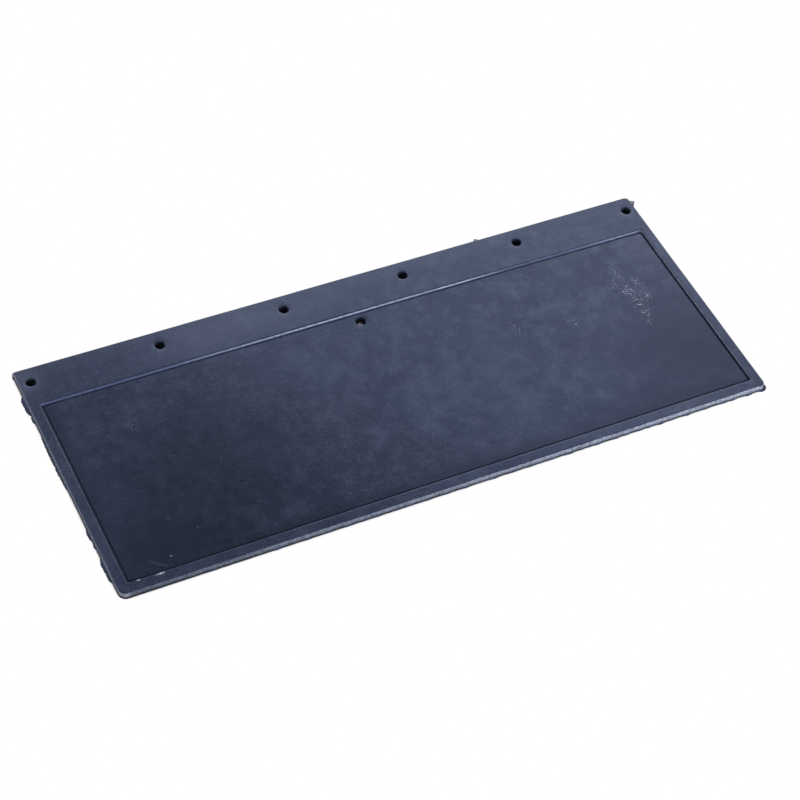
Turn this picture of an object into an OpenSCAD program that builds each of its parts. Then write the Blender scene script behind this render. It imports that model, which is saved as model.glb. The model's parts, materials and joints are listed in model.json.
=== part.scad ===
// Moulded rubber mud flap, lying face up with its header band towards +Y.
// A thick header band carries the bolt holes. Below it a thin panel is framed by raised rims.
// The panel is made of three stretches joined by short webs, where the rubber bends.

/* [Flap] */
// Width of the flap from side to side
flap_w = 600; // [500:5:800]
// Height of the flap from its top edge to its bottom edge
flap_h = 246; // [220:2:500]
// Thickness of the header band and of the rims
border_t = 7; // [6:0.1:10]
// Thickness of the panel
panel_t = 5; // [3:0.1:5.5]
// Radius of the two upper corners
upper_corner_r = 3; // [1:0.5:6]
// Radius of the two lower corners
lower_corner_r = 5; // [1:0.5:6]

/* [Border] */
// Height of the header band, from the top edge to the edge of its step
header_h = 40.5; // [34:0.5:60]
// Width of the side rims across their top
side_rim_w = 9; // [7:0.5:20]
// Width of the bottom rim across its top
bottom_rim_w = 9; // [7:0.5:20]
// Run of the sloping faces between the border and the panel
draft = 1; // [0.4:0.1:2]

/* [Holes] */
// Diameter of the bolt holes in the header band
bolt_hole_d = 9; // [6:0.5:14]
// Number of bolt holes
bolt_hole_count = 6; // [2:1:8]
// Distance from the top edge to the centres of the bolt holes
bolt_hole_drop = 15.5; // [10:0.5:22]
// Distance from each side edge to the centre of the first bolt hole
bolt_hole_end = 10; // [9:0.5:60]
// Diameter of the centre hole in the panel
centre_hole_d = 9; // [5:0.5:10]
// Distance from the edge of the header step to the centre of the centre hole
centre_hole_drop = 10.5; // [9:0.5:20]

/* [Bending] */
// Length of each web along the panel
web_l = 4; // [3:0.5:5]
// Length that the rims leave free past a web, so that they clear each other when it bends
rim_relief = 4; // [3:0.5:8]

/* [Flash] */
// Thickness of the flash at the parting line
flash_t = 0.8; // [0.3:0.1:1.5]
// Width of the even flash along the bottom edge
bottom_flash_w = 0.7; // [0.3:0.1:2]
// Reach of the largest lump, on the left edge beside the header's step
large_lump_reach = 4.5; // [1:0.5:6]
// Half the length of the largest lump
large_lump_half_l = 17; // [8:1:22]
// Reach of the long thin lump, on the left edge beside the second web
thin_lump_reach = 1.3; // [0.5:0.1:3]
// Half the length of the long thin lump
thin_lump_half_l = 34; // [15:1:40]
// Number of small lumps on the left edge below the third web
small_lump_count = 3; // [1:1:3]
// Reach of a small lump
small_lump_reach = 2.5; // [1:0.5:5]
// Half the length of a small lump
small_lump_half_l = 8; // [4:0.5:8]
// Distance from one small lump to the next
small_lump_pitch = 18; // [17:0.5:20]
// Reach of the vent nubs on the edges of the header band
nub_reach = 3.5; // [1:0.5:4]
// Half the length of a nub
nub_half_l = 3; // [2:0.5:8]
// Height of a nub
nub_t = 6; // [1:0.5:6]
// Distance from the right edge to the nub on the top edge
top_nub_from_right = 157; // [40:1:250]

/* [Hidden] */
$fn = 64;
rubber = [0.10, 0.11, 0.14];

// How far a cutting shape runs past the faces that it cuts
past = 1;

// Edges of the flap, and feet of the slopes round the panel
right_x = flap_w / 2;
top_y = flap_h / 2;
bottom_y = -flap_h / 2;
step_y = top_y - header_h;
panel_top_y = step_y - draft;
panel_bottom_y = bottom_y + bottom_rim_w + draft;
panel_x = right_x - side_rim_w - draft;

// Places of the holes
bolt_pitch = (flap_w - 2 * bolt_hole_end) / (bolt_hole_count - 1);
bolt_y = top_y - bolt_hole_drop;
centre_hole_y = step_y - centre_hole_drop;

// The three stretches share the panel to a tenth of a millimetre, each with its web along its upper edge
stretch_count = 3;
stretch_pitch = floor(10 * (panel_top_y - panel_bottom_y) / stretch_count) / 10;
function web_top(i) = panel_top_y - i * stretch_pitch;
function web_bottom(i) = web_top(i) - web_l;
function rim_top(i) = web_bottom(i) - rim_relief;
function stretch_bottom(i) = i + 1 < stretch_count ? web_top(i + 1) : panel_bottom_y;

// Lumps of flash, each with its place along the edge, half its length and its reach
left_lumps = [
    [step_y, large_lump_half_l, large_lump_reach],
    [web_top(1), thin_lump_half_l, thin_lump_reach],
    for (k = [0 : small_lump_count - 1])
        [web_bottom(2) - small_lump_half_l - k * small_lump_pitch, small_lump_half_l, small_lump_reach]
];
top_nubs = [[right_x - top_nub_from_right, nub_half_l, nub_reach]];
right_nubs = [[top_y - upper_corner_r - nub_half_l, nub_half_l, nub_reach]];
lump_steps = 16;

// What a round corner takes off a square corner at the origin
module corner_cut(r) {
    difference() {
        translate([-past, -past])
            square(r + past);
        translate([r, r])
            circle(r);
    }
}

// Outline of the flap from above
module outline() {
    difference() {
        translate([-right_x, bottom_y])
            square([flap_w, flap_h]);
        for (side = [0, 1])
            mirror([side, 0]) {
                translate([-right_x, bottom_y])
                    corner_cut(lower_corner_r);
                translate([-right_x, top_y])
                    mirror([0, 1])
                        corner_cut(upper_corner_r);
            }
    }
}

// Section of the recess between the feet of two slopes, wider upwards
module recess_section(low_foot, high_foot) {
    rise = border_t - panel_t;
    run = draft * (rise + past) / rise;
    polygon([
        [low_foot, panel_t],
        [high_foot, panel_t],
        [high_foot + run, panel_t + rise + past],
        [low_foot - run, panel_t + rise + past]
    ]);
}

// Recess in front of the panel, with a slope on all four sides
module recess() {
    intersection() {
        translate([0, top_y, 0])
            rotate([90, 0, 0])
                linear_extrude(flap_h)
                    recess_section(-panel_x, panel_x);
        translate([-right_x, 0, 0])
            rotate([90, 0, 90])
                linear_extrude(flap_w)
                    recess_section(panel_bottom_y, panel_top_y);
    }
}

module hole(x, y, d) {
    translate([x, y, -past])
        cylinder(d = d, h = border_t + 2 * past);
}

// The whole moulding without its flash
module moulding() {
    difference() {
        linear_extrude(border_t)
            outline();
        recess();
        for (i = [0 : bolt_hole_count - 1])
            hole(-right_x + bolt_hole_end + i * bolt_pitch, bolt_y, bolt_hole_d);
        hole(0, centre_hole_y, centre_hole_d);
    }
}

// Lump of flash that stands out of an edge along X, highest at its middle and uneven along its length
module lump(half_l, reach) {
    function height(u) = reach * (1 - u * u) * (1 - pow(sin(360 * u), 2) / 4);
    edge = [for (k = [0 : lump_steps]) 1 - 2 * k / lump_steps];
    polygon(concat(
        [[-half_l, -past], [half_l, -past]],
        [for (u = edge) [half_l * u, height(u)]]
    ));
}

// Flash on the left and bottom edges, and nubs on the top and right edges
module flash() {
    difference() {
        union() {
            linear_extrude(flash_t) {
                for (l = left_lumps)
                    translate([-right_x, l[0]])
                        rotate(90)
                            lump(l[1], l[2]);
                translate([-right_x + lower_corner_r, bottom_y - bottom_flash_w])
                    square([flap_w - 2 * lower_corner_r, bottom_flash_w + past]);
            }
            linear_extrude(nub_t) {
                for (l = right_nubs)
                    translate([right_x, l[0]])
                        rotate(-90)
                            lump(l[1], l[2]);
                for (l = top_nubs)
                    translate([l[0], top_y])
                        lump(l[1], l[2]);
            }
        }
        translate([0, 0, -past])
            linear_extrude(border_t + 2 * past)
                outline();
    }
}

// Upright box round everything between two lines across the flap and two along it
module zone(x_low, x_high, y_low, y_high) {
    translate([x_low, y_low, -past])
        cube([x_high - x_low, y_high - y_low, border_t + 2 * past]);
}

// Everything across the flap between two heights
module band(y_low, y_high) {
    reach = right_x + large_lump_reach + nub_reach + past;
    zone(-reach, reach, y_low, y_high);
}

// Side rim of stretch i, on the left with side -1 and on the right with side 1
module rim(i, side) {
    inner_x = side * panel_x;
    outer_x = side * (right_x + past);
    color(rubber)
        intersection() {
            moulding();
            zone(min(inner_x, outer_x), max(inner_x, outer_x), stretch_bottom(i), rim_top(i));
        }
}

// Thin panel of stretch i
module panel(i) {
    color(rubber)
        intersection() {
            moulding();
            zone(-panel_x, panel_x, stretch_bottom(i), web_bottom(i));
        }
}

// Web above stretch i, with both rims beside it and the flash on them
module web(i) {
    color(rubber)
        difference() {
            intersection() {
                union() {
                    moulding();
                    flash();
                }
                band(rim_top(i), web_top(i));
            }
            zone(-panel_x, panel_x, rim_top(i) - past, web_bottom(i));
        }
}

// Flash between two heights
module flash_between(y_low, y_high) {
    color(rubber)
        intersection() {
            flash();
            band(y_low, y_high);
        }
}

module header_band() {
    color(rubber)
        intersection() {
            moulding();
            band(panel_top_y, top_y + past);
        }
}

module bottom_rim() {
    color(rubber)
        intersection() {
            moulding();
            band(bottom_y - past, panel_bottom_y);
        }
}

module header_flash() { flash_between(panel_top_y, top_y + nub_reach + past); }
module root_web() { web(0); }
module upper_panel() { panel(0); }
module upper_left_rim() { rim(0, -1); }
module upper_right_rim() { rim(0, 1); }
module upper_flash() { flash_between(stretch_bottom(0), rim_top(0)); }
module upper_web() { web(1); }
module middle_panel() { panel(1); }
module middle_left_rim() { rim(1, -1); }
module middle_right_rim() { rim(1, 1); }
module middle_flash() { flash_between(stretch_bottom(1), rim_top(1)); }
module lower_web() { web(2); }
module lower_panel() { panel(2); }
module lower_left_rim() { rim(2, -1); }
module lower_right_rim() { rim(2, 1); }
module lower_flash() { flash_between(bottom_y - bottom_flash_w - past, rim_top(2)); }

header_band();
header_flash();
root_web();
upper_panel();
upper_left_rim();
upper_right_rim();
upper_flash();
upper_web();
middle_panel();
middle_left_rim();
middle_right_rim();
middle_flash();
lower_web();
lower_panel();
lower_left_rim();
lower_right_rim();
lower_flash();
bottom_rim();
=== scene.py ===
import json
import math

import bmesh
import bpy
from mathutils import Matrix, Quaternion, Vector, geometry, noise


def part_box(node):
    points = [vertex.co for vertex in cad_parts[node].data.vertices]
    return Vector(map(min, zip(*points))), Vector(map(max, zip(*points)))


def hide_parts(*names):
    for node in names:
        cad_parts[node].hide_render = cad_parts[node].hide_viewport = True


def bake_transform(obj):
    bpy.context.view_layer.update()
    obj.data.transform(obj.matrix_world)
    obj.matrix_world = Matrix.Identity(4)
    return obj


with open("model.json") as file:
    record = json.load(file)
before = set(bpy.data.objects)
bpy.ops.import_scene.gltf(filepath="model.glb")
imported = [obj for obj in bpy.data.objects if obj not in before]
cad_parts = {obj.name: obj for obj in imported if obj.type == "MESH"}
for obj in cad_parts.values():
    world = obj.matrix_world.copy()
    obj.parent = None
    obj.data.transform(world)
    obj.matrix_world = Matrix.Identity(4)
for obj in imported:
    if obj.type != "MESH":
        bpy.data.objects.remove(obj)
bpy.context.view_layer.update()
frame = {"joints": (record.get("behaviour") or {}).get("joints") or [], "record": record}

MM = 0.001

# Sizes that the frame gives, in metres
header_low, header_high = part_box("header_band")
bottom_low, bottom_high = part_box("bottom_rim")
_, panel_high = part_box("middle_panel")
RIGHT_X = header_high.x
TOP_Y = header_high.y
BOTTOM_Y = bottom_low.y
BORDER_T = header_high.z
PANEL_T = panel_high.z
FOOT_X = panel_high.x
FOOT_TOP_Y = header_low.y
FOOT_BOTTOM_Y = bottom_high.y
HINGE_Y = {joint["name"]: joint["pos_m"][1] for joint in frame["joints"]}

# Outline of the moulding: corner radii from the lower right corner anticlockwise
CORNER_RADII = [4 * MM, 4 * MM, 1.5 * MM, 6 * MM]
CORNER_STEPS = 8
EDGE_STEP = 0.9 * MM
BOTTOM_BULGE = 0.2 * MM

# Section of the outer wall: its rounded edge is drawn out to a chamfer along the bottom
EDGE_LIP = 0.5 * MM
EDGE_R = 0.9 * MM
EDGE_ROUND_STEPS = 6
ROUND_POWER = 1.0
BOTTOM_CHAMFER_RUN = 0.5 * MM
BOTTOM_CHAMFER_DROP = 1.2 * MM
CHAMFER_POWER = 1.7
WALL_DRAFT = 0.2 * MM
WALL_STEPS = 4
BACK_LIFT = 0.06 * MM

# Slope between the border and the panel, with its foot a little outside the one that the frame gives
DRAFT = 0.7 * MM
CREASE_R = 0.3 * MM
FOOT_CORNER_R = 0.8 * MM
FOOT_OUT_LEFT = 0.6 * MM
FOOT_OUT_RIGHT = 1.1 * MM
FOOT_OUT_TOP = 0.1 * MM
FOOT_OUT_BOTTOM = 0.25 * MM
RECESS_LOW = Vector((-FOOT_X - FOOT_OUT_LEFT, FOOT_BOTTOM_Y - FOOT_OUT_BOTTOM))
RECESS_HIGH = Vector((FOOT_X + FOOT_OUT_RIGHT, FOOT_TOP_Y + FOOT_OUT_TOP))

# The header's step sags to the right of its crown, by this much at half the flap's width from it
STEP_SAG = 0.85 * MM
STEP_CROWN_X = -60 * MM

# Groove at the foot of the slope, with its own sizes near the left and right ends of the panel
GROOVE_DEPTH = 0.55 * MM
GROOVE_HALF_W = 0.8 * MM
LEFT_GROOVE_DEPTH = 0.9 * MM
LEFT_GROOVE_HALF_W = 1.3 * MM
RIGHT_GROOVE_DEPTH = 1.2 * MM
RIGHT_GROOVE_HALF_W = 1.0 * MM
SIDE_GROOVE_REACH = 8 * MM

# Rows of points along the slope, closer together towards its middle
SLOPE_ROWS = 12
SLOPE_SPREAD = 3.3 * MM
SLOPE_ROW_POWER = 1.2
SLOPE_STEP = 2.5 * MM
LEAST_ROW_R = 0.2 * MM

# Holes
HOLE_STEPS = 48
HOLE_EDGE_R = 0.6 * MM
HOLE_ROUND_STEPS = 4

# Unevenness of the moulded faces, each with its length and its height
SWAYS = [(70 * MM, 0.22 * MM), (22 * MM, 0.06 * MM)]

# Grids of points on the front and back faces
GRID_STEP = 5 * MM
BACK_GRID_STEP = 12 * MM

# Flash at the parting line: shares of its reach and thickness down its section, and of its reach at the back
FLASH_T = 1.1 * MM
FLASH_SECTION = [(0.5, 0.85), (1.0, 0.5)]
FLASH_BACK_SHARE = 0.85
LEAST_FLASH = 0.12 * MM
FLASH_RAG_L = 2.6 * MM

# Least outward share at which a stretch of the outline counts as the left or bottom edge
FACING = 0.7

# Lumps of flash on the left edge: place along the edge, half length and reach
LEFT_FLASH = [
    (89 * MM, 11 * MM, 2.9 * MM),
    (73 * MM, 4 * MM, 1.5 * MM),
    (24 * MM, 32 * MM, 1.5 * MM),
    (-55 * MM, 6 * MM, 1.7 * MM),
    (-67 * MM, 2.5 * MM, 0.9 * MM),
    (-88 * MM, 8 * MM, 2.2 * MM),
    (-99 * MM, 6 * MM, 2.0 * MM),
]
LEFT_FLASH_MEAN = 0.85
LEFT_FLASH_RAG = 0.3
LUMP_POWER = 4

# Wavy flash on the bottom edge, from its left end to its right end
BOTTOM_FLASH_LEFT = 0.1 * MM
BOTTOM_FLASH_RIGHT = 0.8 * MM
BOTTOM_WAVE_L = 9 * MM
BOTTOM_FLASH_MEAN = 0.5
BOTTOM_FLASH_WAVE = 2.0
BOTTOM_FLASH_RAG = 0.4

# Lump of flash at the lower right corner: place, half length and reach
CORNER_FLASH = (RIGHT_X, BOTTOM_Y + 2 * MM, 7 * MM, 3 * MM)

# Vent nubs on the outer edge: place, half length and reach
NUBS = [
    (141 * MM, TOP_Y, 4 * MM, 3.4 * MM),
    (RIGHT_X, 117 * MM, 3.4 * MM, 5 * MM),
    (-299.3 * MM, 122.5 * MM, 1.8 * MM, 1.3 * MM),
]
NUB_T = 6 * MM

# Painted highlights along stretches of the slope, on the header's step and the rims: place, half size and
# strength
STEP_HIGHLIGHTS = [
    (-20 * MM, 82 * MM, 190 * MM, 8 * MM, 1.35),
    (95 * MM, 82 * MM, 60 * MM, 8 * MM, 1.35),
    (275 * MM, 82 * MM, 65 * MM, 8 * MM, 0.6),
]
RIM_HIGHLIGHTS = [
    (291 * MM, -20 * MM, 8 * MM, 220 * MM, 0.8),
    (160 * MM, -113 * MM, 250 * MM, 8 * MM, 0.4),
    (-291 * MM, 40 * MM, 8 * MM, 70 * MM, 0.4),
]
SLOPE_HIGHLIGHT_PLACE = 0.4 * MM
SLOPE_HIGHLIGHT_HALF_W = 0.45 * MM

# Painted shade just above the painted highlights on the header's step
STEP_SHADE_PLACE = 1.4 * MM
STEP_SHADE_HALF_W = 0.8 * MM
STEP_SHADE_SHARE = 0.7

# Painted highlight along the crest of the slope and painted shade in its crease
CREST_PLACE = 0.65 * DRAFT
CREST_HALF_W = 0.6 * MM
CREST_LEAST = 0.45
CREASE_MARGIN = 0.05 * MM
CREASE_RISE = 0.3 * MM

# Painted shade along the left and bottom sides of the panel, next to the rims
HOLLOW_W = 17 * MM
HOLLOW_SHARE = 0.9

# Painted highlight on the outer wall: how far it reaches in and out, its heights, and its strength along the
# edges
WALL_HIGHLIGHT_REACH = 2.5 * MM
WALL_HIGHLIGHT_OUT = 0.6 * MM
WALL_HIGHLIGHT_LOW = 1.2 * MM
WALL_HIGHLIGHT_FULL = 3.0 * MM
WALL_HIGHLIGHT_HIGH = 6.4 * MM
WALL_HIGHLIGHT_SIDES = 0.9
WALL_HIGHLIGHT_BOTTOM_LEFT = 0.25
WALL_HIGHLIGHT_BOTTOM_RIGHT = 1.0
WALL_HIGHLIGHT_CORNER_R = 14 * MM

# Blistered patches on the panel: place, half size and strength
BLISTERS = [
    (243 * MM, 41 * MM, 9 * MM, 10 * MM, 0.5),
    (233 * MM, 31 * MM, 8 * MM, 9 * MM, 0.5),
    (242 * MM, 20 * MM, 9 * MM, 11 * MM, 1.0),
    (255 * MM, 25 * MM, 8 * MM, 11 * MM, 0.7),
    (242 * MM, 4 * MM, 8 * MM, 11 * MM, 1.0),
    (254 * MM, 8 * MM, 9 * MM, 10 * MM, 0.6),
    (243 * MM, -9 * MM, 9 * MM, 10 * MM, 0.6),
    (242 * MM, -19 * MM, 7 * MM, 8 * MM, 0.35),
    (124 * MM, 14 * MM, 8 * MM, 12 * MM, 0.35),
    (178 * MM, 3 * MM, 11 * MM, 9 * MM, 0.35),
    (-229 * MM, 34 * MM, 9 * MM, 9 * MM, 0.2),
    (-188 * MM, 47 * MM, 6 * MM, 6 * MM, 0.2),
]
BLISTER_STEP = 1.1 * MM
BLISTER_L = 2.4 * MM
BLISTER_H = 0.32 * MM

# Patches of painted shade on the panel, mostly towards its lower part: place, half size and strength
SHADED_PATCHES = [
    (-185 * MM, -30 * MM, 125 * MM, 105 * MM, 0.8),
    (-250 * MM, -92 * MM, 120 * MM, 78 * MM, 1.0),
    (262 * MM, -55 * MM, 105 * MM, 92 * MM, 0.9),
    (215 * MM, -115 * MM, 130 * MM, 45 * MM, 1.0),
    (216 * MM, 47 * MM, 24 * MM, 18 * MM, 0.6),
    (185 * MM, -30 * MM, 50 * MM, 34 * MM, 0.5),
]

# Patches of painted sheen on the front, shown in the crest colour: place, half size and strength
SHEEN_PATCHES = [
    (0, TOP_Y, 700 * MM, 20 * MM, 0.3),
    (-110 * MM, 108 * MM, 125 * MM, 42 * MM, 0.5),
    (-296 * MM, 112 * MM, 24 * MM, 24 * MM, 0.7),
    (283 * MM, 60 * MM, 32 * MM, 34 * MM, 0.35),
    (230 * MM, -119 * MM, 120 * MM, 12 * MM, 0.3),
]

# Pips left by vents: place, radius, height and how pale their flecks are, which are partly painted glints
PIPS = [
    (-249.1 * MM, -101.2 * MM, 1.1 * MM, 0.55 * MM, 0.35),
    (-282.0 * MM, -114.7 * MM, 1.1 * MM, 0.45 * MM, 0.8),
    (-266.3 * MM, -115.2 * MM, 1.4 * MM, 0.2 * MM, 0.6),
    (-263.8 * MM, -115.1 * MM, 1.6 * MM, 0.3 * MM, 1.0),
    (-261.4 * MM, -115.1 * MM, 1.4 * MM, 0.2 * MM, 1.0),
]

# Round each pip, in radii of the pip: its ring of painted shade, and the room that the grid leaves for it
PIP_RING_R = 1.6
PIP_ROOM = 2

# Rings of points on each pip, and points on each ring
PIP_RINGS = 6
PIP_STEPS = 10

# Round witness mark near the lower left corner, which runs between two angles in degrees
WITNESS_PLACE = (-249 * MM, -91 * MM)
WITNESS_R = 19.7 * MM
WITNESS_H = 0.10 * MM
WITNESS_BARE = 0.35
WITNESS_HALF_W = 0.7 * MM
WITNESS_ANGLES = (175, 285)

# Points on the witness mark: degrees between them, rows to each side, and the room that the grid leaves
WITNESS_TURN = 3
WITNESS_ROWS = 2
WITNESS_ROOM = 3 * WITNESS_HALF_W

# Faces are made as triangles inside the outline, to this precision
INSIDE_TRIANGLES = 1
FILL_PRECISION = 1e-9

# Cuts between the stretches: their precision, and the distance below which points on a cut become one
CUT_PRECISION = 1e-7
CUT_MERGE = 0.02 * MM

# Bending: how far each bend reaches to both sides of its hinge
ROOT_BEND = 14 * MM
PANEL_BEND = 20 * MM

# Vertex attributes that the material reads
SHARES = ("border", "crest", "crease", "scuff", "edge", "fleck")

RUBBER_SLOT = "moulded_rubber"

# Noise in the rubber: scale, detail and roughness, then the values between which each shows
CLOUD = (16, 3, 0.5)
CLOUD_RANGE = (0.45, 0.95)
BLOTCH = (60, 4, 0.65)
BLOTCH_RANGE = (0.44, 0.9)
MOTTLE = (120, 3, 0.5)
MOTTLE_RANGE = (0.35, 0.65)
GRAIN = (420, 3, 0.6)
GRAIN_RANGE = (0.48, 0.95)
HIGHLIGHT_GRAIN_RANGE = (0.2, 0.6)
SCUFF_SPOTS = (620, 3, 0.5)
SCUFF_SPOT_RANGE = (0.56, 0.70)
SCUFF_RANGE = (0.0, 0.9)

# Blotches grow across the flap: from and to place, from and to strength
BLOTCH_SPREAD = (-250 * MM, 200 * MM, 0.3, 1.0)

# Specks in the rubber: scale, chance and size, then how sharply they are chosen and the share that is solid
GRIT = (170, 0.4, 0.14)
DUST = (110, 0.07, 0.08)
SPECK_CHOICE_W = 0.01
SPECK_CORE = 1 / 3

# How strongly some layers of the rubber show
GRIT_STRENGTH = 0.35
CREST_STRENGTH = 0.4
CREASE_STRENGTH = 0.95
DUST_STRENGTH = 0.5

# Colours of the rubber's layers. The crest colour and the colour of the edges are painted highlights, the
# crease colour is painted shade, and the fleck colour is partly a painted glint.
PANEL_COLOUR = (0.006, 0.008, 0.0145, 1)
BORDER_COLOUR = (0.014, 0.0175, 0.0305, 1)
CLOUD_COLOUR = (0.022, 0.027, 0.045, 1)
BLOTCH_COLOUR = (0.055, 0.062, 0.09, 1)
GRAIN_COLOUR = (0.055, 0.066, 0.105, 1)
GRIT_COLOUR = (0.10, 0.115, 0.16, 1)
CREST_COLOUR = (0.13, 0.14, 0.18, 1)
CREASE_COLOUR = (0.001, 0.001, 0.002, 1)
HIGHLIGHT_COLOUR = (0.33, 0.35, 0.43, 1)
DUST_COLOUR = (0.25, 0.27, 0.34, 1)
SCUFF_COLOUR = (0.62, 0.65, 0.75, 1)
FLECK_AND_GLINT_COLOUR = (0.70, 0.72, 0.78, 1)

# Gloss of the rubber: from and to mottle, from and to roughness, then its level and tint
ROUGHNESS_SPREAD = (0.3, 0.7, 0.20, 0.25)
GLOSS_LEVEL = 0.25
GLOSS_TINT = (0.38, 0.50, 1.0, 1)

# Fine bump of the rubber, from its grain and a share of its mottle
BUMP_H = 0.09 * MM
BUMP_STRENGTH = 1.0
BUMP_MOTTLE = 0.35

# Floor, with the shade where the rubber meets it and the shares of open sky between which it shows
FLOOR_HALF = 4.0
SHADE_REACH = 30 * MM
SHADE_SAMPLES = 16
SHADE_COLOUR = (0.01, 0.01, 0.015, 1)
SHADE_RANGE = (0.48, 0.60)
BOUNCE_RANGE = (0.7, 1.0)
BOUNCE_LEVEL = 0.9
CLOSE_RAY = (0.4 * MM, 0.3 * MM)

# World: the white that is seen, and the soft light that the object gets
WHITE_COLOUR = (1, 1, 1, 1)
WHITE_LEVEL = 1.0
SOFT_COLOUR = (0.93, 0.95, 1, 1)
SOFT_LEVEL = 0.18

# Softboxes that face one point: name, place, size, brightness and roll, in metres and degrees
SOFTBOXES = [
    ("back_softbox", (0.86, 1.24, 0.83), (1.34, 1.5), 3.4, -15),
    ("left_softbox", (-0.45, 1.25, 1.6), (1.1, 1.2), 2.4, 0),
    ("front_softbox", (0.62, -1.45, 0.46), (1.9, 0.86), 7.6, 0),
    ("side_softbox", (-1.6, 0.9, 0.70), (1.4, 0.36), 7.0, 0),
]
SOFTBOX_AIM = Vector((0.05, 0.0, 0.0))
SOFTBOX_COLOUR = (0.92, 0.96, 1.0)

# Camera: metres, degrees, and millimetres of lens and sensor
CAMERA_TARGET = Vector((-0.0049, -0.0180, 0.0))
CAMERA_DISTANCE = 1.9128
CAMERA_AZIMUTH = -32.65
CAMERA_ELEVATION = 49.31
CAMERA_ROLL = 8.71
CAMERA_LENS = 100.908
SENSOR_W = 36


def hole_places():
    """Centre and radius of every hole, from the mounts of the record. Bolt holes come in pairs."""
    places = []
    for mount in frame["record"]["mounts"]:
        x, y, _ = mount["pos_m"]
        sizes = mount["dims"]
        if mount["kind"] == "bolt_pattern":
            for side in (-1, 1):
                places.append((x + side * sizes["spacing_x_mm"] * MM / 2, y, sizes["hole_r_mm"] * MM))
        elif mount["kind"] == "bore":
            places.append((x, y, sizes["r_mm"] * MM))
    return places


HOLES = hole_places()


def part_way(start, end, share):
    """Value at a share of the way from start to end."""
    return start + (end - start) * share


def across_flap(x):
    """Share of the flap's width to the left of a place."""
    return (x + RIGHT_X) / (2 * RIGHT_X)


def bell(distance, half):
    """Smooth bump of height 1 that ends at half its width."""
    return max(0.0, 1 - (distance / half) ** 2) ** 2


def ripple(x, y, length):
    """Smooth uneven value at a place, above and below zero, that changes over a length."""
    return noise.noise(Vector((x, y, 0)) / length)


def patch_share(patches, x, y):
    """How strongly the strongest of some patches shows at a place."""
    shares = [0.0]
    for px, py, half_x, half_y, strength in patches:
        shares.append(strength * bell(math.hypot((x - px) / half_x, (y - py) / half_y), 1))
    return max(shares)


def circle(x, y, r, steps):
    """Places round a circle."""
    angles = [2 * math.pi * k / steps for k in range(steps)]
    return [(x + r * math.cos(a), y + r * math.sin(a)) for a in angles]


def rounded_box(low, high, radii, step):
    """Points round a box with round corners, anticlockwise, each with its outward direction."""
    turns = [-90, 0, 90, 180]
    squares = [(high[0], low[1]), (high[0], high[1]), (low[0], high[1]), (low[0], low[1])]
    inward = [(-1, 1), (-1, -1), (1, -1), (1, 1)]
    arcs = []
    for turn, square, way, r in zip(turns, squares, inward, radii):
        centre = Vector((square[0] + way[0] * r, square[1] + way[1] * r))
        arc = []
        for k in range(CORNER_STEPS + 1):
            angle = math.radians(turn + 90 * k / CORNER_STEPS)
            outward = Vector((math.cos(angle), math.sin(angle)))
            arc.append((centre + outward * r, outward))
        arcs.append(arc)
    points = []
    for arc, following in zip(arcs, arcs[1:] + arcs[:1]):
        points += arc
        start, outward = arc[-1]
        run = following[0][0] - start
        count = max(1, round(run.length / step))
        points += [(start + run * k / count, outward) for k in range(1, count)]
    return points


def recess_distance(x, y):
    """Distance outside the foot of the slope round the panel, below zero over the panel."""
    top = RECESS_HIGH.y - STEP_SAG * (max(0.0, x - STEP_CROWN_X) / RIGHT_X) ** 2
    qx = max(x - RECESS_HIGH.x, RECESS_LOW.x - x) + FOOT_CORNER_R
    qy = max(y - top, RECESS_LOW.y - y) + FOOT_CORNER_R
    return math.hypot(max(qx, 0), max(qy, 0)) + min(max(qx, qy), 0) - FOOT_CORNER_R


def soft_step(d):
    """Share of the rise from panel to border at a distance from the foot, with both creases rounded."""
    low = (d + math.hypot(d, CREASE_R)) / 2
    high = (d - DRAFT + math.hypot(d - DRAFT, CREASE_R)) / 2
    return (low - high) / DRAFT


def groove(x, d):
    """Depth of the groove at the foot of the slope, and how strongly painted shade darkens it. It is deeper
    at the sides.
    """
    left = bell(max(0.0, x - RECESS_LOW.x), SIDE_GROOVE_REACH)
    right = bell(max(0.0, RECESS_HIGH.x - x), SIDE_GROOVE_REACH)
    between = 1 - left - right
    half = GROOVE_HALF_W * between + LEFT_GROOVE_HALF_W * left + RIGHT_GROOVE_HALF_W * right
    depth = GROOVE_DEPTH * between + LEFT_GROOVE_DEPTH * left + RIGHT_GROOVE_DEPTH * right
    rise = CREASE_RISE * (1 - right)
    return depth * bell(d + half, half), bell(d + half - rise, half + CREASE_MARGIN)


def blister_share(x, y):
    """How strongly the panel is blistered at a place."""
    return patch_share(BLISTERS, x, y)


def witness_share(x, y):
    """How strongly the witness mark shows at a place, faded towards both ends of its arc."""
    dx = x - WITNESS_PLACE[0]
    dy = y - WITNESS_PLACE[1]
    angle = math.degrees(math.atan2(dy, dx)) % 360
    middle = sum(WITNESS_ANGLES) / 2
    fade = bell(angle - middle, middle - WITNESS_ANGLES[0])
    return fade * bell(math.hypot(dx, dy) - WITNESS_R, WITNESS_HALF_W)


def marks(x, y):
    """Height of the pips, blisters and witness mark at a place."""
    height = WITNESS_H * witness_share(x, y)
    for px, py, r, h, _ in PIPS:
        height += h * bell(math.hypot(x - px, y - py), r)
    share = blister_share(x, y)
    if share > 0:
        height += BLISTER_H * share * max(0.0, ripple(x, y, BLISTER_L))
    return height


def sway(x, y):
    """Unevenness of the moulded face at a place."""
    return sum(h * ripple(x, y, length) for length, h in SWAYS)


def front_height(x, y):
    """Height of the front face at a place."""
    d = recess_distance(x, y)
    rise = (BORDER_T - PANEL_T) * soft_step(d) - groove(x, d)[0]
    return PANEL_T + rise + sway(x, y) + marks(x, y)


def lump(place, middle, half, reach):
    """Reach of one lump of flash at a place along its edge, with blunt ends."""
    return reach * max(0.0, 1 - abs((place - middle) / half) ** LUMP_POWER)


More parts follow.
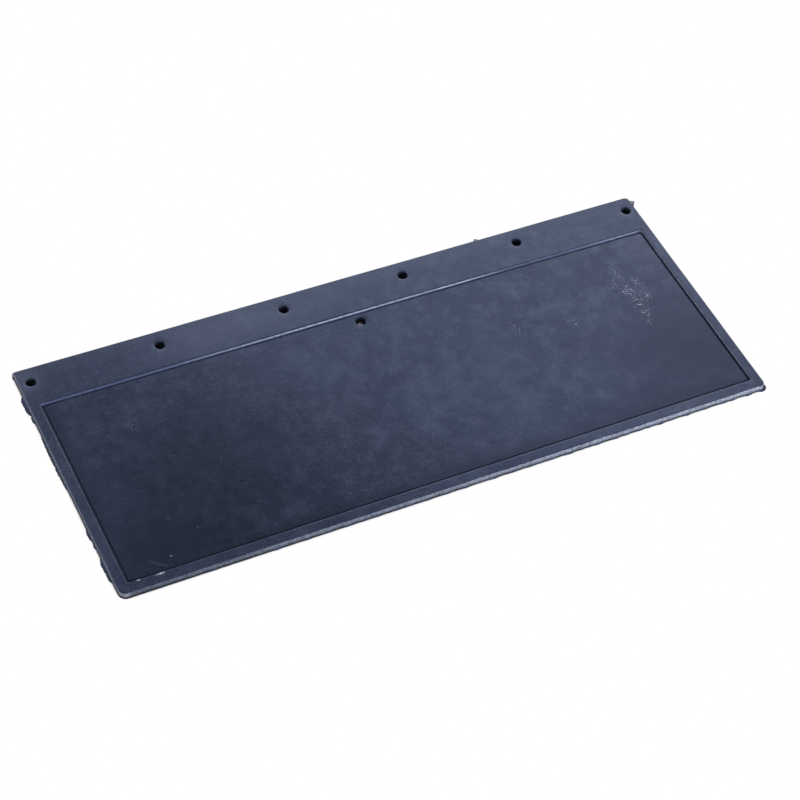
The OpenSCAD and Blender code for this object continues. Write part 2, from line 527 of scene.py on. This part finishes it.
def flash_reach(point, outward):
    """How far the flash stands out of the wall at a point of the outline."""
    rag = ripple(point.x, point.y, FLASH_RAG_L)
    reach = LEAST_FLASH * (1 + rag)
    if outward.x < -FACING:
        largest = max(lump(point.y, *values) for values in LEFT_FLASH)
        reach += largest * (LEFT_FLASH_MEAN + LEFT_FLASH_RAG * rag)
    if outward.y < -FACING:
        base = part_way(BOTTOM_FLASH_LEFT, BOTTOM_FLASH_RIGHT, across_flap(point.x))
        wave = BOTTOM_FLASH_WAVE * ripple(point.x, 0, BOTTOM_WAVE_L)
        reach += base * max(0.0, BOTTOM_FLASH_MEAN + wave + BOTTOM_FLASH_RAG * rag)
    x, y, half, corner_reach = CORNER_FLASH
    return reach + corner_reach * bell(math.hypot(point.x - x, point.y - y), half)


def nub_reach(point):
    """How far a vent nub stands out of the wall at a point of the outline."""
    return max(reach * bell(math.hypot(point.x - x, point.y - y), half) for x, y, half, reach in NUBS)


def wall_section(point, outward):
    """Offsets and heights down the outer wall at a point of the outline, from the front face to the back."""
    chamfer = max(0.0, -outward.y)
    run = part_way(EDGE_R, BOTTOM_CHAMFER_RUN, chamfer)
    drop = part_way(EDGE_R, BOTTOM_CHAMFER_DROP, chamfer)
    power = part_way(ROUND_POWER, CHAMFER_POWER, chamfer)
    front = BORDER_T + sway(*(point - outward * run))
    flash = flash_reach(point, outward)
    nub = nub_reach(point)
    section = [(-run - EDGE_LIP, front)]
    for k in range(EDGE_ROUND_STEPS + 1):
        angle = math.pi / 2 * k / EDGE_ROUND_STEPS
        height = front - drop * (1 - max(0.0, math.cos(angle)) ** power)
        section.append((run * (math.sin(angle) ** power - 1) + (nub if height < NUB_T else 0), height))
    top = section[-1][1]
    for k in range(1, WALL_STEPS + 1):
        share = k / WALL_STEPS
        section.append((WALL_DRAFT * share + nub, part_way(top, FLASH_T, share)))
    foot = WALL_DRAFT + nub
    for reach_share, height_share in FLASH_SECTION:
        section.append((foot + reach_share * flash, height_share * FLASH_T))
    section.append((foot + FLASH_BACK_SHARE * flash, BACK_LIFT))
    return section


def add_ring(bm, points):
    """Closed ring of new vertices."""
    return [bm.verts.new(point) for point in points]


def bridge(bm, ring, following):
    """Faces between two rings of as many vertices."""
    count = len(ring)
    for k in range(count):
        after = (k + 1) % count
        bm.faces.new((ring[k], ring[after], following[after], following[k]))


def keep_crisp(bm, ring):
    """Keeps the shading of the faces on both sides of a ring apart."""
    for vertex, following in zip(ring, ring[1:] + ring[:1]):
        bm.edges.get((vertex, following)).smooth = False


def fill(bm, rings, rows, spots, height):
    """Triangles inside the first ring and outside the others, through rows and spots at given heights."""
    vertices = [vertex for ring in rings for vertex in ring]
    free = [place for row in rows for place in row] + spots
    flat = [vertex.co.xy for vertex in vertices] + [Vector(place) for place in free]
    hole_of = {vertex: k for k, ring in enumerate(rings[1:]) for vertex in ring}
    edges = []
    start = 0
    for loop in rings + rows:
        count = len(loop)
        edges += [(start + k, start + (k + 1) % count) for k in range(count)]
        start += count
    made, _, triangles, sources, _, _ = geometry.delaunay_2d_cdt(
        flat, edges, [], INSIDE_TRIANGLES, FILL_PRECISION,
    )
    corners = []
    for place, source in zip(made, sources):
        known = [k for k in source if k < len(vertices)]
        if known:
            corners.append(vertices[known[0]])
        else:
            corners.append(bm.verts.new((place.x, place.y, height(place.x, place.y))))
    # A triangle with all its corners on the ring of one hole lies inside that hole
    for triangle in triangles:
        points = [corners[k] for k in triangle]
        rings_met = {hole_of.get(point) for point in points}
        if len(rings_met) > 1 or None in rings_met:
            bm.faces.new(points)


def add_hole(bm, x, y, r):
    """Wall of one hole. Gives back its rings on the front and back faces."""
    wide = r + HOLE_EDGE_R
    front = [front_height(*place) for place in circle(x, y, wide, HOLE_STEPS)]
    rings = []
    for k in range(HOLE_ROUND_STEPS + 1):
        angle = math.pi / 2 * k / HOLE_ROUND_STEPS
        radius = wide - HOLE_EDGE_R * math.sin(angle)
        drop = HOLE_EDGE_R * (1 - math.cos(angle))
        places = circle(x, y, radius, HOLE_STEPS)
        rings.append(add_ring(bm, [(*place, top - drop) for place, top in zip(places, front)]))
    lower_rings = [(r, PANEL_T / 2), (r, HOLE_EDGE_R / 2), (r + HOLE_EDGE_R / 2, BACK_LIFT)]
    for radius, height in lower_rings:
        places = circle(x, y, radius, HOLE_STEPS)
        rings.append(add_ring(bm, [(*place, height) for place in places]))
    for ring, following in zip(rings, rings[1:]):
        bridge(bm, ring, following)
    return rings[0], rings[-1]


def grid(step, keep):
    """Places on an even grid over the flap that a test keeps."""
    columns = int(2 * RIGHT_X / step)
    rows = int((TOP_Y - BOTTOM_Y) / step)
    places = []
    for i in range(1, columns):
        for j in range(1, rows):
            place = (-RIGHT_X + 2 * RIGHT_X * i / columns, BOTTOM_Y + (TOP_Y - BOTTOM_Y) * j / rows)
            if keep(*place):
                places.append(place)
    return places


def clear_of_edges(x, y, margin):
    """Whether a place keeps a margin from the outline and the holes."""
    if abs(x) > RIGHT_X - margin or not BOTTOM_Y + margin < y < TOP_Y - margin:
        return False
    return all(math.hypot(x - hx, y - hy) > r + margin for hx, hy, r in HOLES)


def near_pip(x, y):
    """Whether a place lies on a pip or in the room round it."""
    return any(math.hypot(x - px, y - py) < PIP_ROOM * r for px, py, r, _, _ in PIPS)


def near_witness(x, y):
    """Whether a place lies on the circle of the witness mark or close to it."""
    distance = math.hypot(x - WITNESS_PLACE[0], y - WITNESS_PLACE[1])
    return abs(distance - WITNESS_R) < WITNESS_ROOM


def blistered(x, y):
    """Whether a place lies on a blistered patch."""
    return blister_share(x, y) > 0


def on_plain_front(x, y):
    """Whether a place on the front face lies off the slope, the marks and the edges."""
    off_slope = abs(recess_distance(x, y) - DRAFT / 2) > SLOPE_SPREAD + GRID_STEP / 4
    on_mark = blistered(x, y) or near_pip(x, y) or near_witness(x, y)
    return off_slope and not on_mark and clear_of_edges(x, y, GRID_STEP / 2)


def on_plain_back(x, y):
    """Whether a place on the back face lies off the edges."""
    return clear_of_edges(x, y, BACK_GRID_STEP / 3)


def pip_spots():
    """Places on every pip and on the ring round it."""
    spots = []
    for x, y, r, _, _ in PIPS:
        spots.append((x, y))
        for k in range(1, PIP_RINGS + 1):
            spots += circle(x, y, PIP_RING_R * r * k / PIP_RINGS, PIP_STEPS)
    return spots


def witness_spots():
    """Places along the witness mark, in rows side by side."""
    spots = []
    for turn in range(*WITNESS_ANGLES, WITNESS_TURN):
        angle = math.radians(turn)
        for row in range(-WITNESS_ROWS, WITNESS_ROWS + 1):
            r = WITNESS_R + WITNESS_HALF_W * row / WITNESS_ROWS
            x = WITNESS_PLACE[0] + r * math.cos(angle)
            y = WITNESS_PLACE[1] + r * math.sin(angle)
            if recess_distance(x, y) < DRAFT / 2 - SLOPE_SPREAD:
                spots.append((x, y))
    return spots


def front_spots():
    """Single places on the front face: an even grid, and closer ones on the marks."""
    return grid(GRID_STEP, on_plain_front) + grid(BLISTER_STEP, blistered) + pip_spots() + witness_spots()


def slope_rows():
    """Rows of places that follow the slope round the panel, closest together where it is steep."""
    rows = []
    for k in range(-SLOPE_ROWS, SLOPE_ROWS + 1):
        d = DRAFT / 2 + math.copysign(SLOPE_SPREAD * (abs(k) / SLOPE_ROWS) ** SLOPE_ROW_POWER, k)
        r = max(FOOT_CORNER_R + d, LEAST_ROW_R)
        spread = Vector((d, d))
        points = rounded_box(RECESS_LOW - spread, RECESS_HIGH + spread, [r] * 4, SLOPE_STEP)
        rows.append([(point.x, point.y) for point, _ in points])
    return rows


def whole_moulding():
    """The moulding in one closed mesh."""
    bm = bmesh.new()
    low = (-RIGHT_X, BOTTOM_Y - BOTTOM_BULGE)
    outline = rounded_box(low, (RIGHT_X, TOP_Y), CORNER_RADII, EDGE_STEP)
    sections = [wall_section(*place) for place in outline]
    walls = []
    for k in range(len(sections[0])):
        points = []
        for (point, outward), section in zip(outline, sections):
            offset, height = section[k]
            points.append((*(point + outward * offset), height))
        walls.append(add_ring(bm, points))
    for ring, following in zip(walls, walls[1:]):
        bridge(bm, ring, following)
    fronts = [walls[0]]
    backs = [walls[-1]]
    for place in HOLES:
        front, back = add_hole(bm, *place)
        fronts.append(front)
        backs.append(back)
    fill(bm, fronts, slope_rows(), front_spots(), front_height)
    fill(bm, backs, [], grid(BACK_GRID_STEP, on_plain_back), lambda x, y: BACK_LIFT)
    for ring in backs:
        keep_crisp(bm, ring)
    bmesh.ops.recalc_face_normals(bm, faces=bm.faces[:])
    return bm


def cut(bm, y, keep_upper):
    """Cuts the moulding across at a height, keeps one side and closes it."""
    everything = bm.verts[:] + bm.edges[:] + bm.faces[:]
    made = bmesh.ops.bisect_plane(
        bm, geom=everything, dist=CUT_PRECISION, plane_co=(0, y, 0), plane_no=(0, 1, 0),
        clear_inner=keep_upper, clear_outer=not keep_upper,
    )
    points = [item for item in made["geom_cut"] if isinstance(item, bmesh.types.BMVert)]
    bmesh.ops.remove_doubles(bm, verts=points, dist=CUT_MERGE)
    edges = [edge for edge in bm.edges if edge.is_boundary]
    cap = bmesh.ops.edgeloop_fill(bm, edges=edges)["faces"]
    for edge in edges:
        edge.smooth = False
    bmesh.ops.triangulate(bm, faces=cap)
    bmesh.ops.dissolve_degenerate(bm, edges=bm.edges[:], dist=CUT_MERGE / 10)


def wall_highlight_share(x, y, z):
    """How strongly the painted highlight shows on the outer wall at a place, more near the lower left
    corner: not at its foot, on its nubs or far inside the outline.
    """
    inside = min(RIGHT_X - abs(x), TOP_Y - y, y - BOTTOM_Y)
    if not -WALL_HIGHLIGHT_OUT < inside < WALL_HIGHLIGHT_REACH or not WALL_HIGHLIGHT_LOW < z < WALL_HIGHLIGHT_HIGH:
        return 0.0
    most = WALL_HIGHLIGHT_SIDES
    if y - BOTTOM_Y == inside:
        most = part_way(WALL_HIGHLIGHT_BOTTOM_LEFT, WALL_HIGHLIGHT_BOTTOM_RIGHT, across_flap(x))
    most = max(most, bell(math.hypot(x + RIGHT_X, y - BOTTOM_Y), WALL_HIGHLIGHT_CORNER_R))
    return most * min(1.0, (z - WALL_HIGHLIGHT_LOW) / (WALL_HIGHLIGHT_FULL - WALL_HIGHLIGHT_LOW))


def dark_share(x, y, d):
    """How strongly painted shade darkens a place: in the groove, and over the panel in its hollow, the
    shaded patches and the rings round the pips, less along the witness mark.
    """
    groove_share = groove(x, d)[1]
    if d >= 0:
        return groove_share
    # Painted shade along the left and bottom sides of the panel
    hollow = HOLLOW_SHARE * bell(min(x - RECESS_LOW.x, y - RECESS_LOW.y), HOLLOW_W)
    # Painted shade in a ring round each pip
    rings = [bell(math.hypot(x - px, y - py) - PIP_RING_R * r, r) for px, py, r, _, _ in PIPS]
    share = max(groove_share, hollow, patch_share(SHADED_PATCHES, x, y), *rings)
    return share * (1 - WITNESS_BARE * witness_share(x, y))


def front_shares(x, y, z):
    """Shares at a place of border, painted highlight on the crest, painted shade in the crease, scuff,
    painted highlight on the edge, and pale fleck that is partly a painted glint.
    """
    edge = wall_highlight_share(x, y, z)
    if z < PANEL_T / 2:
        return dict(dict.fromkeys(SHARES, 0.0), edge=edge)
    d = recess_distance(x, y)
    # Painted highlights along the step and the rims, which brighten the crest and the slope
    step_highlight = patch_share(STEP_HIGHLIGHTS, x, y)
    slope_highlight = max(step_highlight, patch_share(RIM_HIGHLIGHTS, x, y))
    crest = min(1.0, CREST_LEAST + slope_highlight) * bell(d - CREST_PLACE, CREST_HALF_W)
    # Painted sheen in patches of the front
    crest = max(crest, patch_share(SHEEN_PATCHES, x, y))
    # Painted shade as a dark line just above the step's painted highlight
    step_shade = STEP_SHADE_SHARE * step_highlight * bell(d - STEP_SHADE_PLACE, STEP_SHADE_HALF_W)
    crease = max(dark_share(x, y, d), step_shade)
    # Painted highlight on the slope along the bright stretches
    edge = max(edge, slope_highlight * bell(d - SLOPE_HIGHLIGHT_PLACE, SLOPE_HIGHLIGHT_HALF_W))
    # Pale flecks on the pips, partly painted glints
    fleck = max(pale * bell(math.hypot(x - px, y - py), r) for px, py, r, _, pale in PIPS)
    values = (soft_step(d), crest, crease, blister_share(x, y), edge, fleck)
    return dict(zip(SHARES, values))


def add_places(mesh):
    """Stores where each vertex lies at rest and its shares, for the material."""
    mesh.attributes.new("rest_place", "FLOAT_VECTOR", "POINT")
    for name in SHARES:
        mesh.attributes.new(name, "FLOAT", "POINT")
    places = [tuple(vertex.co) for vertex in mesh.vertices]
    mesh.attributes["rest_place"].data.foreach_set("vector", [value for place in places for value in place])
    shares = [front_shares(*place) for place in places]
    for name in SHARES:
        mesh.attributes[name].data.foreach_set("value", [share[name] for share in shares])


def rubber_piece(name, whole, low, high):
    """One stretch of the moulding between two heights, as an object."""
    bm = whole.copy()
    for face in bm.faces:
        face.smooth = True
    if low is not None:
        cut(bm, low, keep_upper=True)
    if high is not None:
        cut(bm, high, keep_upper=False)
    bmesh.ops.recalc_face_normals(bm, faces=bm.faces[:])
    mesh = bpy.data.meshes.new(name)
    bm.to_mesh(mesh)
    bm.free()
    add_places(mesh)
    piece = bpy.data.objects.new(name, mesh)
    bpy.context.scene.collection.objects.link(piece)
    return piece


def node(tree, kind, inputs=None, **settings):
    """New node with its settings, and with a value or a link for each named input."""
    made = tree.nodes.new(kind)
    for name, value in settings.items():
        setattr(made, name, value)
    for name, value in (inputs or {}).items():
        if isinstance(value, bpy.types.NodeSocket):
            tree.links.new(value, made.inputs[name])
        else:
            made.inputs[name].default_value = value
    return made


def math_node(tree, operation, a, b):
    """Result of one operation on two values."""
    return node(tree, "ShaderNodeMath", {0: a, 1: b}, operation=operation).outputs[0]


def times(tree, a, b):
    """One value times another."""
    return math_node(tree, "MULTIPLY", a, b)


def ramp(tree, value, low, high, start=0.0, end=1.0):
    """Value turned into start where it is low and end where it is high, and held there beyond them."""
    inputs = {"Value": value, "From Min": low, "From Max": high, "To Min": start, "To Max": end}
    return node(tree, "ShaderNodeMapRange", inputs).outputs[0]


def mix_colour(tree, share, a, b):
    """Colour a share of the way from one colour to another."""
    return node(tree, "ShaderNodeMix", {0: share, 6: a, 7: b}, data_type="RGBA").outputs[2]


def mix_shader(tree, share, a, b):
    """Shader a share of the way from one shader to another."""
    return node(tree, "ShaderNodeMixShader", {0: share, 1: a, 2: b}).outputs[0]


def noise_value(tree, place, scale, detail, rough):
    """Noise at a place, from 0 to 1."""
    inputs = {"Vector": place, "Scale": scale, "Detail": detail, "Roughness": rough}
    return node(tree, "ShaderNodeTexNoise", inputs).outputs[0]


def share_of(tree, name):
    """One of the shares that the mesh stores."""
    return node(tree, "ShaderNodeAttribute", attribute_name=name).outputs["Fac"]


def specks(tree, place, scale, chance, size):
    """Share of round specks in a random choice of the cells of a grid."""
    dots = node(tree, "ShaderNodeTexVoronoi", {"Vector": place, "Scale": scale})
    pick = node(tree, "ShaderNodeSeparateColor", {0: dots.outputs["Color"]}).outputs[0]
    chosen = ramp(tree, pick, 1 - chance, 1 - chance + SPECK_CHOICE_W)
    return times(tree, chosen, ramp(tree, dots.outputs["Distance"], size, size * SPECK_CORE))


def empty_material(name):
    """New material with an empty node tree."""
    material = bpy.data.materials.new(name)
    material.use_nodes = True
    material.node_tree.nodes.clear()
    return material


def rubber_colour(tree, place, mottle, grain):
    """Colour of the rubber: bloom, grain and grit on its two levels, then painted highlights on the crest
    and edges, painted shade in the crease, dust, scuffs, and pale flecks that are partly painted glints.
    """
    cloud = noise_value(tree, place, *CLOUD)
    colour = mix_colour(tree, share_of(tree, "border"), PANEL_COLOUR, BORDER_COLOUR)
    colour = mix_colour(tree, ramp(tree, cloud, *CLOUD_RANGE), colour, CLOUD_COLOUR)
    blotch = ramp(tree, noise_value(tree, place, *BLOTCH), *BLOTCH_RANGE)
    across = node(tree, "ShaderNodeSeparateXYZ", {0: place}).outputs[0]
    blotch = times(tree, blotch, ramp(tree, across, *BLOTCH_SPREAD))
    colour = mix_colour(tree, blotch, colour, BLOTCH_COLOUR)
    patchy = times(tree, ramp(tree, grain, *GRAIN_RANGE), ramp(tree, mottle, *MOTTLE_RANGE))
    colour = mix_colour(tree, patchy, colour, GRAIN_COLOUR)
    grit = times(tree, specks(tree, place, *GRIT), GRIT_STRENGTH)
    colour = mix_colour(tree, grit, colour, GRIT_COLOUR)
    # Painted highlight along the crest of the slope
    crest = times(tree, share_of(tree, "crest"), CREST_STRENGTH)
    colour = mix_colour(tree, crest, colour, CREST_COLOUR)
    # Painted shade in the groove, the hollows, the shaded patches, round the pips and above the step
    crease = times(tree, share_of(tree, "crease"), CREASE_STRENGTH)
    colour = mix_colour(tree, crease, colour, CREASE_COLOUR)
    # Painted highlight on the outer wall and along bright stretches of the slope, broken up by the grain
    edge_highlight = times(tree, share_of(tree, "edge"), ramp(tree, grain, *HIGHLIGHT_GRAIN_RANGE))
    colour = mix_colour(tree, edge_highlight, colour, HIGHLIGHT_COLOUR)
    dust = times(tree, specks(tree, place, *DUST), DUST_STRENGTH)
    colour = mix_colour(tree, dust, colour, DUST_COLOUR)
    spots = ramp(tree, noise_value(tree, place, *SCUFF_SPOTS), *SCUFF_SPOT_RANGE)
    scuff = times(tree, ramp(tree, share_of(tree, "scuff"), *SCUFF_RANGE), spots)
    colour = mix_colour(tree, scuff, colour, SCUFF_COLOUR)
    # Pale flecks, partly painted glints
    return mix_colour(tree, share_of(tree, "fleck"), colour, FLECK_AND_GLINT_COLOUR)


def rubber_material():
    """Dark blue-grey moulded rubber with a satin skin, cloudy bloom, pebble grain, dust and scuffs."""
    material = empty_material(RUBBER_SLOT)
    tree = material.node_tree
    place = node(tree, "ShaderNodeAttribute", attribute_name="rest_place").outputs["Vector"]
    mottle = noise_value(tree, place, *MOTTLE)
    grain = noise_value(tree, place, *GRAIN)
    height = math_node(tree, "ADD", grain, times(tree, mottle, BUMP_MOTTLE))
    bump = node(tree, "ShaderNodeBump", {"Height": height, "Strength": BUMP_STRENGTH, "Distance": BUMP_H})
    shader = node(
        tree, "ShaderNodeBsdfPrincipled",
        {
            "Base Color": rubber_colour(tree, place, mottle, grain),
            "Roughness": ramp(tree, mottle, *ROUGHNESS_SPREAD),
            "Normal": bump.outputs[0],
            "Specular IOR Level": GLOSS_LEVEL,
            "Specular Tint": GLOSS_TINT,
        },
    )
    node(tree, "ShaderNodeOutputMaterial", {"Surface": shader.outputs[0]})
    return material


def make_rubber():
    """The three stretches of rubber, cut at the seams between the hinges."""
    upper_seam = (HINGE_Y["root_flex"] + HINGE_Y["upper_flex"]) / 2
    lower_seam = (HINGE_Y["upper_flex"] + HINGE_Y["lower_flex"]) / 2
    stretches = [
        ("upper_rubber", upper_seam, None, "header", "upper", "root_flex", ROOT_BEND),
        ("middle_rubber", lower_seam, upper_seam, "upper", "middle", "upper_flex", PANEL_BEND),
        ("lower_rubber", None, lower_seam, "middle", "lower", "lower_flex", PANEL_BEND),
    ]
    whole = whole_moulding()
    material = rubber_material()
    bodies = frame["record"]["behaviour"]["bodies"]
    for name, low, high, fixed, moving, hinge, reach in stretches:
        piece = rubber_piece(name, whole, low, high)
        piece.data.materials.append(material)
        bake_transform(piece)
        # The upper stretch stands for the header's solids too
        nodes = bodies[moving] if fixed != "header" else bodies[fixed] + bodies[moving]
        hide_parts(*nodes)
    whole.free()


def floor_material():
    """White ground that shows to the camera only as the dark line where the rubber meets it.

    Other rays see it bright where it is open. Shadow rays and rays from just above it pass through.
    """
    material = empty_material("ground")
    tree = material.node_tree
    occlusion = node(
        tree, "ShaderNodeAmbientOcclusion", {"Distance": SHADE_REACH}, samples=SHADE_SAMPLES,
    )
    openness = occlusion.outputs["AO"]
    light = node(tree, "ShaderNodeLightPath").outputs
    clear = node(tree, "ShaderNodeBsdfTransparent").outputs[0]
    dark = node(tree, "ShaderNodeBsdfDiffuse", {"Color": SHADE_COLOUR}).outputs[0]
    seen = mix_shader(tree, ramp(tree, openness, *SHADE_RANGE), dark, clear)
    glow = {"Color": ramp(tree, openness, *BOUNCE_RANGE), "Strength": BOUNCE_LEVEL}
    bounce = node(tree, "ShaderNodeEmission", glow).outputs[0]
    close = ramp(tree, light["Ray Length"], *CLOSE_RAY)
    passing = math_node(tree, "MAXIMUM", light["Is Shadow Ray"], close)
    unseen = mix_shader(tree, passing, bounce, clear)
    both = mix_shader(tree, light["Is Camera Ray"], unseen, seen)
    node(tree, "ShaderNodeOutputMaterial", {"Surface": both})
    return material


def make_floor():
    """Flat ground under the flap."""
    bm = bmesh.new()
    bmesh.ops.create_grid(bm, x_segments=1, y_segments=1, size=FLOOR_HALF)
    mesh = bpy.data.meshes.new("floor")
    bm.to_mesh(mesh)
    bm.free()
    mesh.materials.append(floor_material())
    floor = bpy.data.objects.new("floor", mesh)
    bpy.context.scene.collection.objects.link(floor)


def looked_at(tree):
    """Share of the rays that show the background: those of the camera, of gloss and of glass."""
    light = node(tree, "ShaderNodeLightPath").outputs
    share = math_node(tree, "MAXIMUM", light["Is Camera Ray"], light["Is Glossy Ray"])
    return math_node(tree, "MAXIMUM", share, light["Is Transmission Ray"])


def make_world():
    """White background, and soft light from all round."""
    world = bpy.data.worlds.new("studio")
    world.use_nodes = True
    tree = world.node_tree
    tree.nodes.clear()
    white = node(tree, "ShaderNodeBackground", {"Color": WHITE_COLOUR, "Strength": WHITE_LEVEL}).outputs[0]
    soft = node(tree, "ShaderNodeBackground", {"Color": SOFT_COLOUR, "Strength": SOFT_LEVEL}).outputs[0]
    both = mix_shader(tree, looked_at(tree), soft, white)
    node(tree, "ShaderNodeOutputWorld", {"Surface": both})
    bpy.context.scene.world = world


def add_softbox(name, place, size, level, roll):
    """Soft light of a given size and brightness, turned about its own middle."""
    lamp = bpy.data.lights.new(name, "AREA")
    lamp.shape = "RECTANGLE"
    lamp.size, lamp.size_y = size
    lamp.color = SOFTBOX_COLOUR
    lamp.energy = level * math.pi * size[0] * size[1]
    softbox = bpy.data.objects.new(name, lamp)
    softbox.location = place
    softbox.rotation_mode = "QUATERNION"
    facing = (SOFTBOX_AIM - Vector(place)).to_track_quat("-Z", "Y")
    softbox.rotation_quaternion = facing @ Quaternion((0, 0, 1), math.radians(roll))
    softbox.visible_camera = False
    bpy.context.scene.collection.objects.link(softbox)


def make_lights():
    """Softboxes round the flap."""
    for values in SOFTBOXES:
        add_softbox(*values)


def make_camera():
    """Camera at the photograph's viewing angle."""
    azimuth = math.radians(CAMERA_AZIMUTH)
    elevation = math.radians(CAMERA_ELEVATION)
    flat = math.cos(elevation)
    back = Vector((math.sin(azimuth) * flat, -math.cos(azimuth) * flat, math.sin(elevation)))
    data = bpy.data.cameras.new("camera")
    data.lens = CAMERA_LENS
    data.sensor_width = SENSOR_W
    camera = bpy.data.objects.new("camera", data)
    camera.location = CAMERA_TARGET + back * CAMERA_DISTANCE
    camera.rotation_mode = "QUATERNION"
    roll = Quaternion((0, 0, 1), math.radians(CAMERA_ROLL))
    camera.rotation_quaternion = (-back).to_track_quat("-Z", "Y") @ roll
    bpy.context.scene.collection.objects.link(camera)
    bpy.context.scene.camera = camera


make_camera()
make_rubber()
make_floor()
make_world()
make_lights()
bpy.context.scene.view_settings.view_transform = "Standard"
